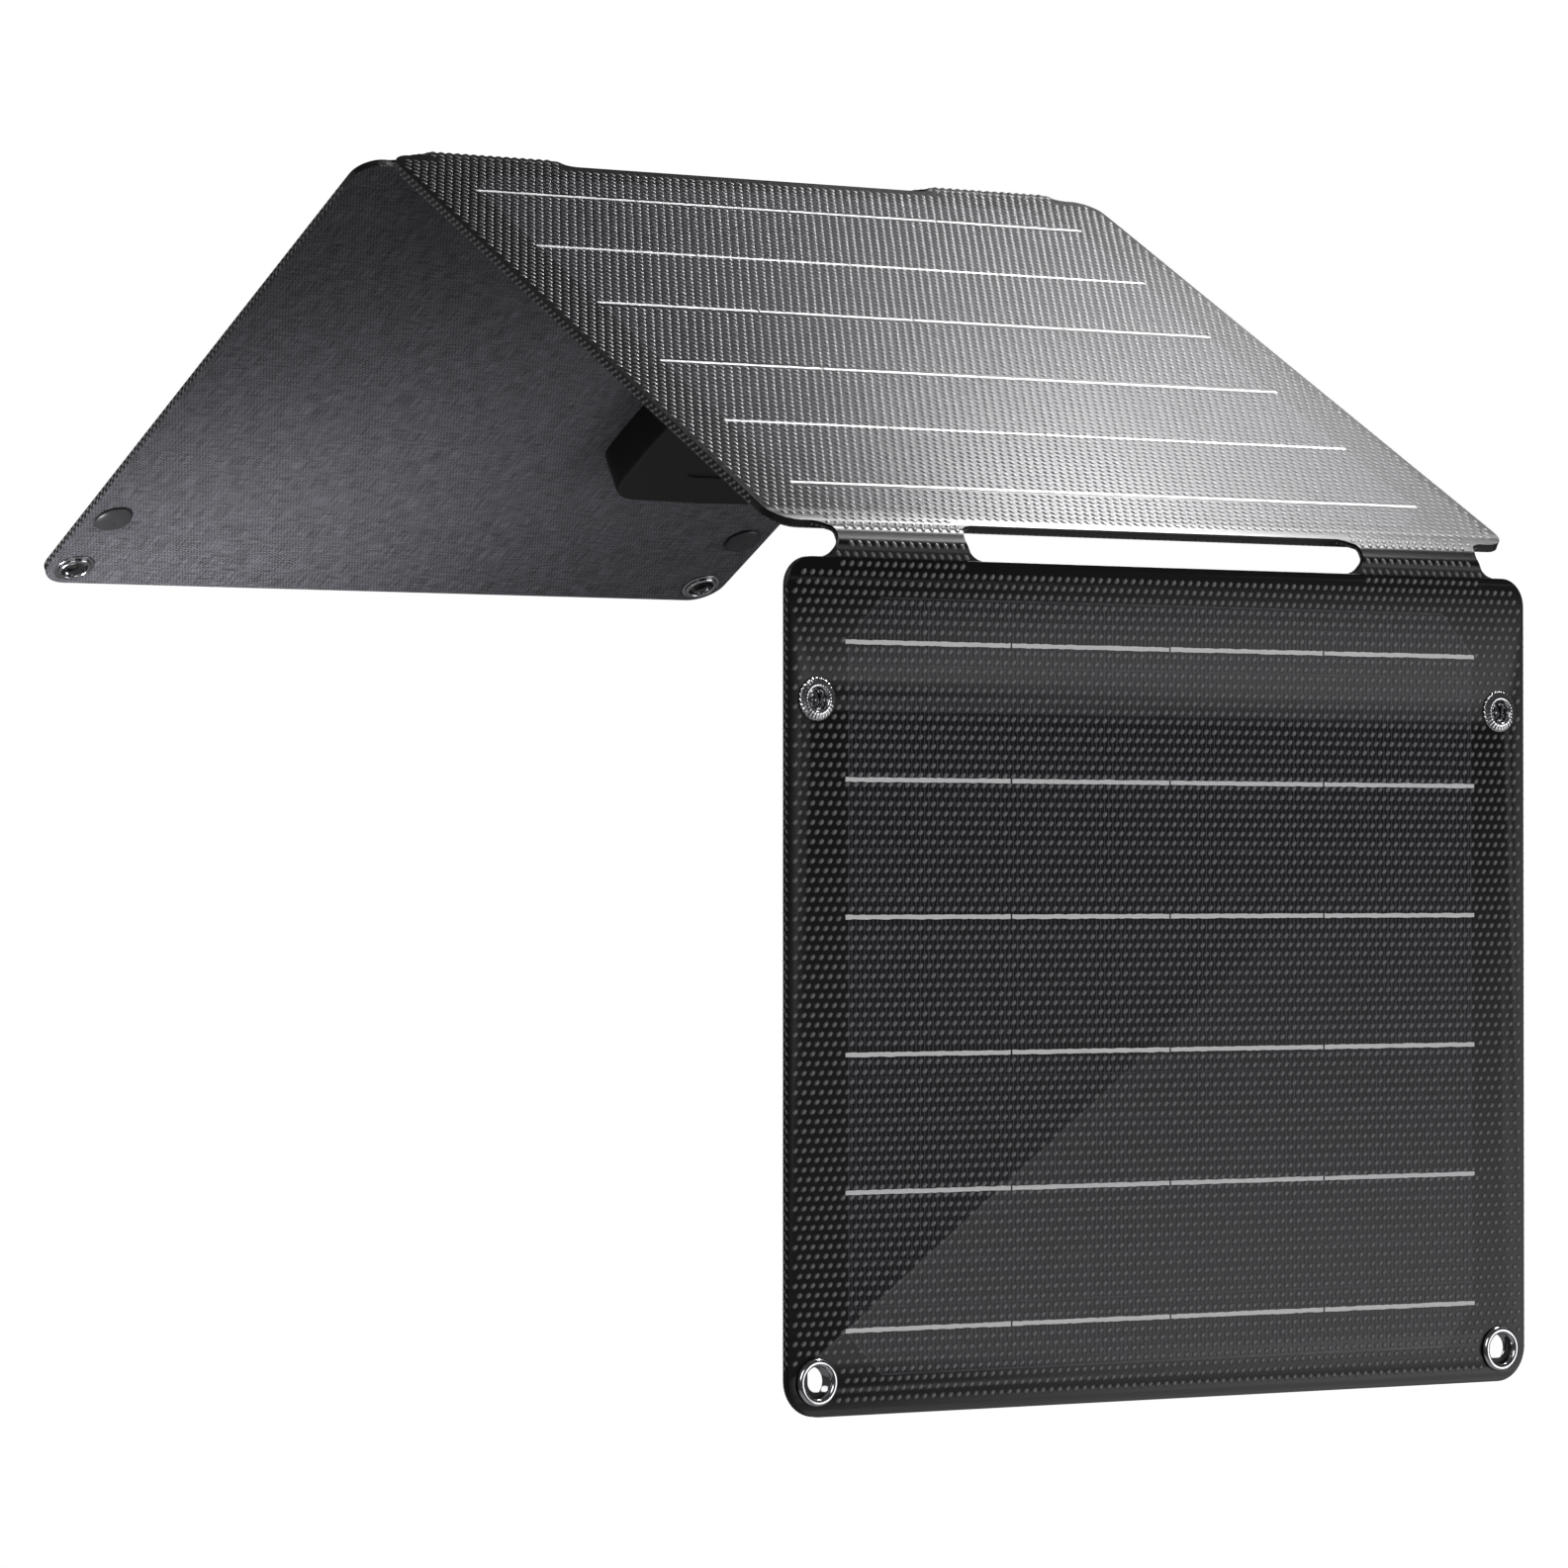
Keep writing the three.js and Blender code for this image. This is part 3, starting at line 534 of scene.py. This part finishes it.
FILM_LOOK = film_material()
CLOTH_LOOK = cloth_material()
LOOKS = {
    "front_film": FILM_LOOK,
    "back_cloth": CLOTH_LOOK,
    # Tinned copper ribbon, slightly rough from the solder: pale from every side.
    "bus_ribbon": speckled_material(
        "tinned_copper_ribbon", "#ffffff", "#f0f0f2", 0.8, 0.38, 0.55, 0.03),
    # Monocrystalline silicon: blue-black with an antireflection sheen.
    "solar_cell": speckled_material(
        "coated_silicon", "#0b0c14", "#11131f", 1.5, 0.2, 0.3, 0.005, IOR=2.0),
    # Glass-fibre board: black resin, with the faint grain of its glass cloth on the cut edge.
    "core_board": speckled_material("black_glass_epoxy", "#131315", "#1c1c1f", 0.4, 0.42, 0.6, 0.03),
    # Flat braid of tinned copper: warm, with a fine strand texture.
    "jumper_braid": speckled_material(
        "tinned_copper_braid", "#b9a58c", "#8d7a60", 0.3, 0.3, 0.5, 0.05, metallic=1.0),
    # Nickel plate over brass, drawn and polished: near-mirror with faint tool marks.
    "nickel_plate": speckled_material(
        "polished_nickel_plate", "#dcdcdf", "#c6c6ca", 1.2, 0.1, 0.2, 0.006, metallic=1.0),
    # Baked black enamel on a pressed cap: dark and smooth, with a soft highlight.
    "snap_cap_enamel": speckled_material(
        "baked_black_enamel", "#3a3a3d", "#424246", 0.7, 0.3, 0.38, 0.004, IOR=1.52),
    # Moulded ABS from a finely spark-eroded tool: matte black.
    "controller_plastic": speckled_material(
        "moulded_abs", "#0c0c0d", "#121213", 0.25, 0.44, 0.6, 0.02, IOR=1.53),
    # Glass-epoxy circuit board under green solder mask.
    "circuit_board": speckled_material("green_solder_mask", "#14532d", "#0e3d21", 1.5, 0.3, 0.45, 0.02),
    # Stamped steel, nickel flashed: grey metal with a rolled grain.
    "bare_steel": speckled_material(
        "nickel_flashed_steel", "#b9bbbf", "#9b9da2", 0.5, 0.24, 0.4, 0.01, metallic=1.0),
    # Clear polycarbonate light pipe, frosted at its end.
    "light_pipe": speckled_material(
        "frosted_polycarbonate", "#e6edf1", "#d3dde3", 0.4, 0.25, 0.4, 0.01, IOR=1.585),
}


# ---- panels --------------------------------------------------------------------------------------
FASTENERS = {
    "a": [f"panel_a_{side}_{kind}" for side in ("left", "right") for kind in ("grommet", "snap_socket")],
    "b": [],
    "c": [f"panel_c_{side}_{kind}" for side in ("left", "right") for kind in ("grommet", "snap_eyelet")],
}
CORNERS = {"a": (FOLD_CORNER, OUTER_CORNER), "b": (FOLD_CORNER, FOLD_CORNER),
           "c": (OUTER_CORNER, FOLD_CORNER)}
FOLD_ENDS = {"a": (-1,), "b": (-1, 1), "c": (1,)}  # the ends of each panel that meet a fold
BUS_ROWS = [(row - 2.5) * BUS_PITCH for row in range(6)]
RIBBON_WIDTH = 0.9
RIBBON_TOP = 0.08
RIBBON_END = CELLS_X + 0.7
RIBBON_STEPS = 38  # points along each length of ribbon
RIBBON_WAVER = 0.09  # how far its edges stray sideways
RIBBON_RIPPLE = 0.02  # and its top up and down
STRIP_GAP = 0.45
PLAIN_MARGIN = 1.45  # the film's short edges stay free of domes this far in
SIDE_MARGIN = 0.85  # and its long edges this far
FILM_HOLE = 3.7  # the radius cut for a grommet or a snap
RIBBON_CLEAR = 0.75  # no dome's middle is nearer than this to the middle of a ribbon
FASTENER_CLEAR = 0.6  # and none is nearer than this to a fastener's rim
FILM_ROUND = 0.1  # the radius of the sheets' edges
CLOTH_ROUND = 0.14
SEAL_WIDTH = 5  # how far the encapsulant reaches in from the panel's edge
BEAD_DEPTHS = (-0.5, -1.36)  # the two rows of beads down a side wall
BEAD_LENGTH = 1.65
BEAD_WIDTH = 0.84
BEAD_HEIGHT = 0.3
TAB_CENTRE = 68.0
TAB_HALF = 15.8


def fastener_spots(letter):
    """The centre and outer radius of each fastener in a panel, in the panel's frame."""
    spots = []
    for node in FASTENERS[letter]:
        low, high = extent(node, PLACES[letter])
        spots.append(((low.x + high.x) / 2, (low.y + high.y) / 2, (high.x - low.x) / 2))
    return spots


def inside_panel(letter, x, y):
    """How far inside a panel's rounded outline a point lies."""
    low_corner, high_corner = CORNERS[letter]
    radius = high_corner if y > 0 else low_corner
    dx = abs(x) - (HALF_WIDTH - radius)
    dy = abs(y) - (HALF_LENGTH - radius)
    beyond = math.hypot(dx, dy) if dx > 0 and dy > 0 else max(dx, dy)
    return radius - beyond


def dome_fits(letter, spots, x, y):
    along_side = abs(y) < HALF_LENGTH - OUTER_CORNER
    clear_of_edge = inside_panel(letter, x, y) > (SIDE_MARGIN if along_side else PLAIN_MARGIN)
    at_tab = abs(abs(x) - TAB_CENTRE) < TAB_HALF and math.copysign(1, y) in FOLD_ENDS[letter]
    if not clear_of_edge and not (at_tab and inside_panel(letter, x, y) > DOME_WIDTH * 0.7):
        return False
    if any(math.hypot(x - cx, y - cy) < radius + FASTENER_CLEAR for cx, cy, radius in spots):
        return False
    on_ribbon = abs(x) < RIBBON_END + 0.5 and any(abs(y - row) < RIBBON_CLEAR for row in BUS_ROWS)
    return not on_ribbon


def side_beads():
    """Two rows of beads along each long side wall, where the film's embossing turns the edge."""
    length = HALF_LENGTH - OUTER_CORNER
    shape = bmesh.new()
    for row, depth in enumerate(BEAD_DEPTHS):
        made = bmesh.ops.create_cone(
            shape, cap_ends=True, segments=6, radius1=0.5, radius2=0.28, depth=BEAD_HEIGHT)["verts"]
        bmesh.ops.scale(shape, verts=made, vec=(BEAD_LENGTH, BEAD_WIDTH, 1))
        lean = Matrix.Rotation(DOME_SLANT, 4, "Z")
        onto_wall = Matrix.Rotation(math.pi / 2, 4, "Y") @ Matrix.Rotation(math.pi / 2, 4, "Z")
        spot = Matrix.Translation((HALF_WIDTH, (row / 2 - 0.25) * EMBOSS_ROW - length, depth))
        bmesh.ops.transform(shape, matrix=spot @ onto_wall @ lean, verts=made)
    right = repeated(shape, (int(2 * length / EMBOSS_ROW), (0, EMBOSS_ROW, 0)))
    shape = from_meshes(right)
    copied = bmesh.ops.duplicate(shape, geom=shape.verts[:] + shape.edges[:] + shape.faces[:])["geom"]
    bmesh.ops.rotate(shape, verts=[g for g in copied if isinstance(g, bmesh.types.BMVert)],
                     matrix=Matrix.Rotation(math.pi, 3, "Z"))
    return shape


def make_front_film(letter):
    spots = fastener_spots(letter)
    holes = [arc(cx, cy, FILM_HOLE, 0, 345, 23) for cx, cy, _ in spots]
    outline = rounded_rectangle(HALF_WIDTH, HALF_LENGTH, *CORNERS[letter])
    sheet = plate(outline, holes, -FILM, 0, FILM_ROUND)
    mark_painted_highlight(sheet, lambda co: 0)
    map_in_millimetres(sheet)
    add_film(f"panel_{letter}_film", sheet, letter, FLAT_EDGE, [f"panel_{letter}_front_film"])
    domes = dome_field(HALF_WIDTH, HALF_LENGTH, lambda x, y: dome_fits(letter, spots, x, y),
                       slant=PANEL_SLANTS[letter])
    # The domes' crests take the film's painted highlight.
    mark_painted_highlight(domes, lambda co: co.z)
    map_in_millimetres(domes)
    add_film(f"panel_{letter}_embossing", domes, letter)
    beads = side_beads()
    # The outer end of each bead takes the film's painted highlight.
    mark_painted_highlight(beads, lambda co: (abs(co.x) - HALF_WIDTH) * 2)
    map_in_millimetres(beads)
    add_film(f"panel_{letter}_edge_beads", beads, letter)


def add_film(name, shape, letter, sharp=80, replaces=()):
    piece = add_piece(name, shape, PLACES[letter], FILM_LOOK, replaces, sharp)
    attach(piece, f"panel_{letter}")


def make_ribbons(letter):
    """Six rows of bright ribbon, each cut at the gaps between the cell strips."""
    dice = random.Random(f"ribbons {letter}")
    shape = bmesh.new()
    cuts = [-RIBBON_END, *STRIP_GAPS, RIBBON_END]
    for row in BUS_ROWS:
        for start, end in zip(cuts, cuts[1:]):
            x0 = start + (STRIP_GAP / 2 if start != cuts[0] else 0)
            x1 = end - (STRIP_GAP / 2 if end != cuts[-1] else 0)
            made = bmesh.ops.create_cube(shape, size=1)["verts"]
            bmesh.ops.scale(shape, verts=made, vec=(x1 - x0, RIBBON_WIDTH, RIBBON_TOP + 0.1))
            bmesh.ops.translate(shape, verts=made, vec=((x0 + x1) / 2, row, (RIBBON_TOP - 0.1) / 2))
    long_edges = [e for e in shape.edges if abs(e.verts[0].co.x - e.verts[1].co.x) > 10]
    bmesh.ops.subdivide_edges(shape, edges=long_edges, cuts=RIBBON_STEPS, use_grid_fill=True)
    for v in shape.verts:
        v.co.y += dice.uniform(-RIBBON_WAVER, RIBBON_WAVER)
        v.co.z += dice.uniform(-RIBBON_RIPPLE, RIBBON_RIPPLE) if v.co.z > 0 else 0
    piece = add_piece(f"panel_{letter}_ribbon_lines", shape, PLACES[letter], LOOKS["bus_ribbon"],
                      [f"panel_{letter}_bus_ribbons"], sharp=50)
    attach(piece, f"panel_{letter}")


def make_edge_seal(letter):
    """The squeezed-out encapsulant round the cells, between the film and the core board."""
    outline = rounded_rectangle(HALF_WIDTH - 0.02, HALF_LENGTH - 0.02, *CORNERS[letter])
    window = rounded_rectangle(HALF_WIDTH - SEAL_WIDTH, HALF_LENGTH - SEAL_WIDTH, 2.0, 2.0)
    shape = plate(outline, [window], CORE_TOP, -FILM, 0.04)
    piece = add_piece(f"panel_{letter}_edge_seal", shape, PLACES[letter], LOOKS["core_board"],
                      sharp=FLAT_EDGE)
    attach(piece, f"panel_{letter}")


def make_back_cloth(letter):
    holes = [arc(cx, cy, FILM_HOLE, 0, 345, 23) for cx, cy, _ in fastener_spots(letter)]
    outline = rounded_rectangle(HALF_WIDTH, HALF_LENGTH, *CORNERS[letter])
    shape = plate(outline, holes, CLOTH_BOTTOM, CLOTH_TOP, CLOTH_ROUND)
    map_in_millimetres(shape)
    piece = add_piece(f"panel_{letter}_woven_back", shape, PLACES[letter], CLOTH_LOOK,
                      [f"panel_{letter}_back_cloth"], FLAT_EDGE)
    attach(piece, f"panel_{letter}")


for letter in "abc":
    make_front_film(letter)
    make_ribbons(letter)
    make_edge_seal(letter)
    make_back_cloth(letter)


# ---- folds ---------------------------------------------------------------------------------------
# A fold's frame has its origin in the middle of the spine, at the depth of the creases.
CREASE_DEPTH = 0.6
TAB_BOTTOM = -0.6
JUMPER_HALF = 6.0
SPINE_SIDE = 1.0  # the bend starts this far before a crease, on the spine
PANEL_SIDE = 1.7  # and ends this far beyond it
UNDER_PANEL = 0.9  # how far a tab's ends run in under the panel's film
TAB_MARGIN = 1.15  # a tab's edge stays free of domes this far in
STEPS = 22  # rows and columns of a tab's mesh
CLEAR_OF_CELLS = 200.0  # a tab's map lies beyond the cells, which the film's material draws


def smooth(t):
    t = min(1.0, max(0.0, t))
    return t * t * (3 - 2 * t)


def bend(point, half_spine):
    """Turns a point of the flat tab about the crease on its side, smoothly over the bend."""
    side = math.copysign(1, point.y)
    share = smooth((abs(point.y) - half_spine + SPINE_SIDE) / (SPINE_SIDE + PANEL_SIDE))
    axis = Vector((0, side * half_spine, 0))
    return Matrix.Rotation(-side * share * BEND, 3, "X") @ (point - axis) + axis


def tab_half_width(half_width, reach, across):
    """Half the width of a tab's layer. The film and cloth flare into the panel in a quarter circle."""
    if half_width < TAB_HALF:
        return half_width
    return half_width + reach - math.sqrt(reach ** 2 - min(across, reach) ** 2)


def tab_layer(side, bottom, top, half_width, reach, end, embossed):
    """Half of one layer of a tab, flat: from the middle of the spine out to the panel at that end."""
    shape = bmesh.new()
    bmesh.ops.create_grid(shape, x_segments=STEPS, y_segments=STEPS, size=0.5)
    for v in shape.verts:
        across = (v.co.y + 0.5) * (reach + UNDER_PANEL)
        v.co = Vector((2 * tab_half_width(half_width, reach, across) * v.co.x, across, top))
    slab = bmesh.ops.extrude_face_region(shape, geom=shape.faces[:])["geom"]
    low = [g for g in slab if isinstance(g, bmesh.types.BMVert)]
    bmesh.ops.translate(shape, verts=low, vec=(0, 0, bottom - top))
    bmesh.ops.recalc_face_normals(shape, faces=shape.faces)
    mark_painted_highlight(shape, lambda co: 0)
    if embossed:
        def keep(x, y):
            inside = tab_half_width(half_width, reach, y) - abs(x) if y > 0 else 0
            return inside > TAB_MARGIN and y < reach
        panel_middle = (-TAB_CENTRE * side, reach + HALF_LENGTH)
        domes = dome_field(TAB_HALF + reach, reach + 2, keep, panel_middle)
        # The tab's dome crests take the film's painted highlight.
        mark_painted_highlight(domes, lambda co: co.z)
        bmesh.ops.translate(domes, verts=domes.verts, vec=(0, 0, top))
        field = bpy.data.meshes.new("domes")
        domes.to_mesh(field)
        domes.free()
        shape.from_mesh(field)
        bpy.data.meshes.remove(field)
    bmesh.ops.scale(shape, verts=shape.verts, vec=(1, end, 1))
    if end < 0:
        bmesh.ops.reverse_faces(shape, faces=shape.faces)
    bmesh.ops.translate(shape, verts=shape.verts, vec=(TAB_CENTRE * side, 0, 0))
    map_in_millimetres(shape, up=CLEAR_OF_CELLS)
    return shape


TAB_LAYERS = (
    ("film_tab", 0.12, CREASE_DEPTH - 0.03, TAB_HALF, FILM_LOOK, "front_film"),
    ("cloth_tab", TAB_BOTTOM, -0.12, TAB_HALF, CLOTH_LOOK, "back_cloth"),
    ("jumper", -0.1, 0.1, JUMPER_HALF, LOOKS["jumper_braid"], "jumper_braid"),
)


def make_fold(name, low_crease, high_crease, low_body, high_body):
    middle = (low_crease + high_crease) / 2
    half_spine = (high_crease - low_crease).length / MM / 2
    tilted = Matrix.Rotation(slope(low_crease, high_crease), 4, "X")
    place = Matrix.Translation(middle) @ tilted @ TO_METRES
    for side_name, side in (("left", -1), ("right", 1)):
        for end, body in ((-1, low_body), (1, high_body)):
            letter = body[-1]
            own = PLACES[letter].inverted() @ (low_crease if end < 0 else high_crease)
            reach = abs(own.y) - HALF_LENGTH + half_spine
            for layer, bottom, top, half, look, slot in TAB_LAYERS:
                embossed = layer == "film_tab"
                shape = tab_layer(side, bottom, top, half, reach, end, embossed)
                for v in shape.verts:
                    v.co = bend(v.co, half_spine)
                node = f"{name}_{side_name}_{layer}"
                piece = add_piece(f"{node}_{letter}", shape, place, look, [node])
                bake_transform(piece)


make_fold("ridge_fold", RIDGE_B, RIDGE_A, "panel_b", "panel_a")
make_fold("lower_fold", LOWER_C, LOWER_B, "panel_c", "panel_b")


# ---- grommets and snaps --------------------------------------------------------------------------
PLEAT_DEPTH = 0.24
PLEAT_START = 2.9  # the pleats begin at this radius
PLEAT_RUN = 0.8  # and reach their full depth this far out


def turned(profile, x, y, steps=48, pleats=0):
    """Spins a closed profile of (radius, height) points about an upright axis, with optional pleats."""
    shape = bmesh.new()
    verts = [shape.verts.new((radius, 0, height)) for radius, height in profile]
    edges = [shape.edges.new(pair) for pair in zip(verts, verts[1:] + verts[:1])]
    bmesh.ops.spin(shape, geom=verts + edges, cent=(0, 0, 0), axis=(0, 0, 1), angle=2 * math.pi,
                   steps=steps, use_merge=True)
    bmesh.ops.remove_doubles(shape, verts=shape.verts, dist=1e-4)
    bmesh.ops.recalc_face_normals(shape, faces=shape.faces)
    if pleats:
        for v in shape.verts:
            radius = math.hypot(v.co.x, v.co.y)
            share = smooth((radius - PLEAT_START) / PLEAT_RUN) if v.co.z > 0.1 else 0
            v.co.z -= PLEAT_DEPTH * share * (0.5 + 0.5 * math.cos(pleats * math.atan2(v.co.y, v.co.x)))
    bmesh.ops.translate(shape, verts=shape.verts, vec=(x, y, 0))
    return shape


# Profiles of the fasteners as (radius, height), from the panel's front face.
BACK = CLOTH_BOTTOM
GROMMET = [
    *arc(3.62, BACK - 0.55, 0.5, 180, 330, 5), (4.3, BACK - 0.44), (3.5, BACK - 0.4),
    (3.45, 0.04), (5.0, 0.04), *arc(4.05, 0.12, 0.86, 15, 165, 8), (3.1, 0.0),
]
WASHER = [
    (3.75, BACK - 0.4), (4.85, BACK - 0.4), (5.02, BACK - 0.26), (4.95, BACK - 0.04), (3.75, BACK - 0.04),
]
SNAP_CAP = [
    (0.001, BACK - 1.5), (1.6, BACK - 1.46), (2.9, BACK - 1.32), (4.0, BACK - 1.03), (4.55, BACK - 0.72),
    (4.72, BACK - 0.42), (4.6, BACK - 0.06), (2.35, BACK - 0.06), (2.35, -0.25), (1.95, -0.25),
    (1.95, BACK - 0.6), (0.001, BACK - 0.6),
]
SNAP_SOCKET = [
    (2.0, 0.04), (4.3, 0.04), (4.32, 0.4), (3.95, 0.72), (3.3, 0.9), (2.7, 0.72), (2.45, 0.86), (2.15, 0.8),
    (1.98, 0.5),
]
SNAP_EYELET = [
    (1.95, BACK + 0.15), (2.3, BACK + 0.15), (2.35, 0.04), (4.4, 0.04), (4.45, 0.3), (4.1, 0.58),
    (3.5, 0.7), (3.15, 0.84), (2.75, 0.86), (2.42, 0.66), (2.28, 0.2), (2.1, -0.3),
]
SNAP_STUD = [
    (0.001, BACK - 3.0), (0.9, BACK - 2.92), (1.45, BACK - 2.65), (1.7, BACK - 2.2), (1.62, BACK - 1.85),
    (1.42, BACK - 1.5), (1.45, BACK - 0.62), (4.0, BACK - 0.52), (4.2, BACK - 0.3), (4.2, BACK - 0.05),
    (0.9, BACK - 0.05), (0.9, BACK - 2.0), (0.001, BACK - 2.2),
]


def make_fastener(letter, side, kind, profile, slot, suffix, pleats=0, steps=48):
    node = f"panel_{letter}_{side}_{kind}"
    low, high = extent(node, PLACES[letter])
    shape = turned(profile, (low.x + high.x) / 2, (low.y + high.y) / 2, steps, pleats)
    piece = add_piece(f"{node}_{suffix}", shape, PLACES[letter], LOOKS[slot], [node], sharp=70)
    rounding = piece.modifiers.new("rounding", "SUBSURF")
    rounding.levels = rounding.render_levels = 1
    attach(piece, f"panel_{letter}")


for side in ("left", "right"):
    for letter in "ac":
        make_fastener(letter, side, "grommet", GROMMET, "nickel_plate", "eyelet")
        make_fastener(letter, side, "grommet_washer", WASHER, "nickel_plate", "ring")
    make_fastener("a", side, "snap_cap", SNAP_CAP, "snap_cap_enamel", "dome")
    make_fastener("a", side, "snap_socket", SNAP_SOCKET, "nickel_plate", "spring")
    make_fastener("c", side, "snap_eyelet", SNAP_EYELET, "nickel_plate", "pleated", pleats=28, steps=112)
    make_fastener("c", side, "snap_stud", SNAP_STUD, "nickel_plate", "post")


# ---- carried-over CAD nodes get their finish -----------------------------------------------------
for part in frame["record"]["subparts"]:
    for held in frame["nodes"][part["node"]].material_slots:
        held.material = LOOKS[part["material_slot"]]
